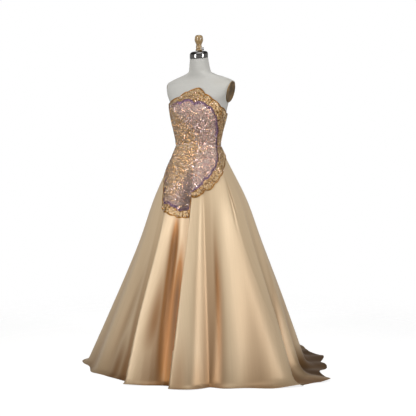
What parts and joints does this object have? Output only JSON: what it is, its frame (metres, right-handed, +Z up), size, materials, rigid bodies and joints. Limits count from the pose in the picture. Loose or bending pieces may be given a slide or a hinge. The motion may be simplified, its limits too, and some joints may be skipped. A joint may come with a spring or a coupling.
{
  "type": "a-line evening gown on a limbless dress form",
  "caption": "Strapless A-line evening gown with a glittering bodice, a scalloped lace-edged hip overlay, a folded satin skirt and short train, on a dress form.",
  "frame": {"origin": "on the floor, at the centre of the stand foot's flat underside", "axes": "+Z up, the gown's front faces -Y, +X is the wearer's left"},
  "size_m": [1.3602, 1.5892, 1.6253],
  "materials": {
    "champagne_satin": "smooth champagne duchess satin",
    "violet_glitter": "mauve cloth covered with glitter and beads",
    "gold_lace": "gold corded lace with beads and a scalloped edge",
    "form_linen": "off-white linen stretched over the form",
    "turned_wood": "turned and varnished wood",
    "plate_bronze": "brown bronze paint",
    "polished_metal": "polished",
    "stand_metal": "black satin paint",
    "zip_tape": "woven tape"
  },
  "bodies": {
    "gown_on_form": {"form_body": "form_linen", "form_neck_cap": "polished_metal", "form_knob": "turned_wood", "arm_plate_left": "plate_bronze", "arm_plate_right": "plate_bronze", "stand_foot": "stand_metal", "stand_pole": "stand_metal", "bodice_front": "violet_glitter", "bodice_side_left": "violet_glitter", "bodice_back_left": "violet_glitter", "bodice_back_right": "violet_glitter", "bodice_side_right": "violet_glitter", "lace_neckline": "gold_lace", "lace_side_left": "gold_lace", "lace_back_right": "gold_lace", "skirt_front": "champagne_satin", "skirt_side_front_left": "champagne_satin", "skirt_back_left": "champagne_satin", "skirt_back_right": "champagne_satin", "skirt_side_back_right": "champagne_satin", "skirt_side_front_right": "champagne_satin", "overlay": "violet_glitter", "overlay_lace": "gold_lace", "zip_tape_bodice": "zip_tape", "zip_tape_skirt": "zip_tape", "zip_slider": "polished_metal"},
    "zip_pull_tab": {"zip_pull": "polished_metal"}
  },
  "joints": [
    {"name": "zip_pull_swing", "type": "hinge", "parent": "gown_on_form", "child": "zip_pull_tab", "pos_m": [0, 0.1092, 1.198], "axis": [1, 0, 0], "range_deg": [-6, 150]}
  ]
}
